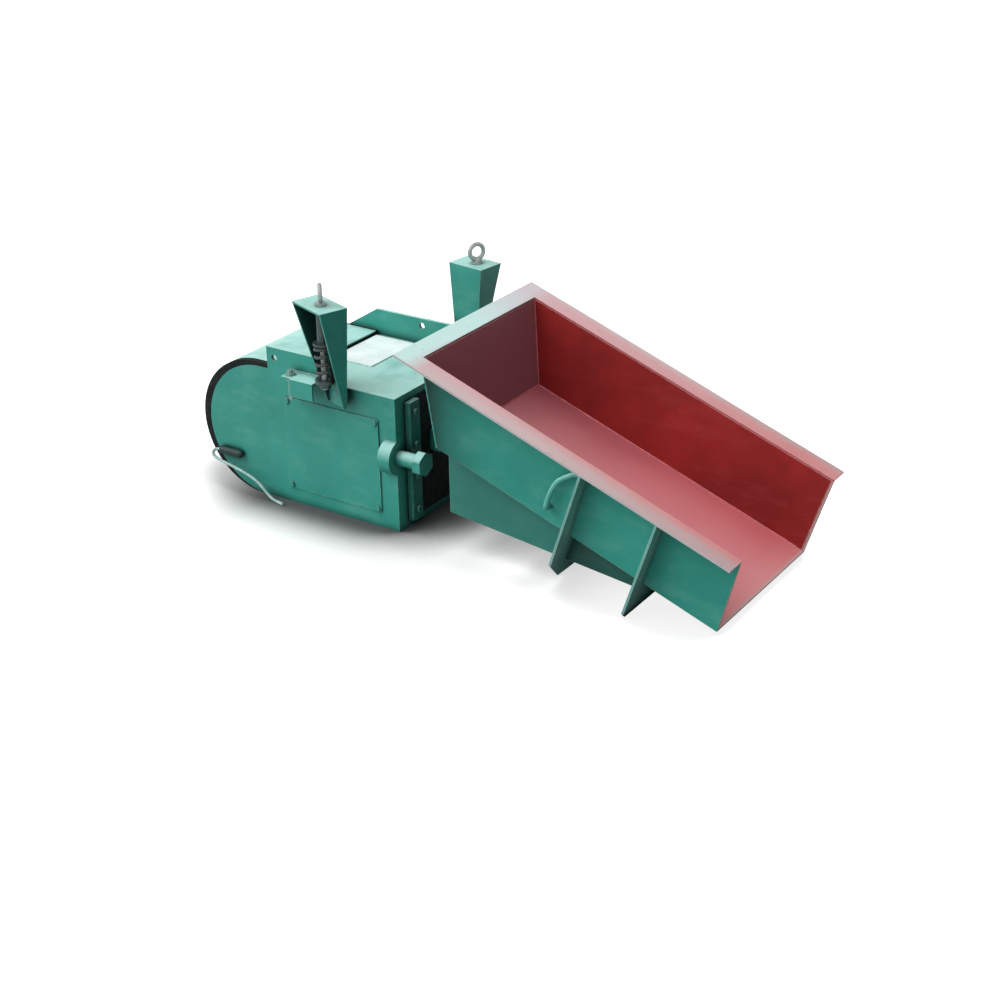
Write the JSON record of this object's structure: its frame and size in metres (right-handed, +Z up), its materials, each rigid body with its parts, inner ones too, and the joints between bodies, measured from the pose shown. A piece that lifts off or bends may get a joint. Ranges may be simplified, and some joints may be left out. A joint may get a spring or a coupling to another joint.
{
  "type": "linear vibratory feeder",
  "caption": "Open sloping trough on ribs, shaken by a closed electromagnetic drive with a rounded rear, spring dampers and hanger eyes.",
  "frame": {"origin": "on the floor, under the drive housing's flat base", "axes": "+X is the level feed direction, from the drive towards the trough's mouth; +Y to the far side; +Z up"},
  "size_m": [2.3173, 0.864, 0.93],
  "materials": {
    "green_paint": "satin green paint",
    "trough_paint": "dull red primer inside, green outside",
    "rim_paint": "worn pale edge of the rim",
    "black_rubber": "matte black",
    "pale_sheet": "pale painted sheet",
    "zinc_steel": "zinc plated",
    "dark_steel": "dark oiled steel",
    "spring_steel": "dark painted spring",
    "coil_winding": "taped winding",
    "grey_jacket": "grey green sheath",
    "bright_steel": "galvanised rod"
  },
  "bodies": {
    "housing": {"housing_side_near": "green_paint", "housing_side_far": "green_paint", "rear_hood": "green_paint", "hood_seals": "black_rubber", "housing_base": "green_paint", "top_plate": "green_paint", "access_plate": "pale_sheet", "front_plate": "green_paint", "front_diaphragm": "black_rubber", "clamp_bars": "green_paint", "clamp_bar_bolts": "zinc_steel", "inspection_covers": "green_paint", "cover_bolts": "zinc_steel", "leaf_springs_lower": "dark_steel", "leaf_springs_upper": "dark_steel", "end_spacers": "dark_steel", "spring_abutments": "green_paint", "spring_clamps": "green_paint", "jack_bolts": "dark_steel", "iron_core": "dark_steel", "coil": "coil_winding", "core_carrier": "green_paint", "core_bolts": "zinc_steel", "cable_gland": "green_paint", "supply_lead": "grey_jacket", "damper_bracket_near": "green_paint", "damper_bracket_far": "green_paint", "damper_spring_near": "spring_steel", "damper_spring_far": "spring_steel", "damper_ledge_near": "green_paint", "damper_ledge_far": "green_paint", "ledge_studs": "zinc_steel", "spring_sleeves": "dark_steel"},
    "trough": {"trough_pan": "trough_paint", "trough_back": "trough_paint", "rim_near": "rim_paint", "rim_far": "rim_paint", "rim_back": "rim_paint", "rib_rear": "green_paint", "rib_front": "green_paint", "trough_mounting_plate": "green_paint", "skirts_rear": "green_paint", "skirts_front": "green_paint", "lifting_loop_near": "green_paint", "lifting_loop_far": "green_paint", "connecting_fork": "green_paint", "mounting_bolts": "zinc_steel", "mounting_nuts": "zinc_steel", "centre_clamps": "dark_steel", "centre_bolts": "zinc_steel", "centre_nuts": "zinc_steel", "middle_spacers": "dark_steel", "armature": "dark_steel"},
    "hanger_near": {"hanger_rod_near": "bright_steel", "spring_seat_near": "dark_steel", "rod_nut_near": "dark_steel"},
    "hanger_far": {"hanger_rod_far": "bright_steel", "spring_seat_far": "dark_steel", "rod_nut_far": "dark_steel"}
  },
  "joints": [
    {"name": "trough_stroke", "type": "slide", "parent": "housing", "child": "trough", "axis": [1, 0, 0], "range_m": [-0.0009, 0.0009], "stiffness_N_per_m": 1000000, "deforming": ["leaf_springs_lower", "leaf_springs_upper"]},
    {"name": "hanger_near_lift", "type": "slide", "parent": "housing", "child": "hanger_near", "axis": [0, 0, 1], "range_m": [0, 0.025], "stiffness_N_per_m": 40000, "deforming": ["damper_spring_near"]},
    {"name": "hanger_far_lift", "type": "slide", "parent": "housing", "child": "hanger_far", "axis": [0, 0, 1], "range_m": [0, 0.025], "stiffness_N_per_m": 40000, "deforming": ["damper_spring_far"]}
  ]
}
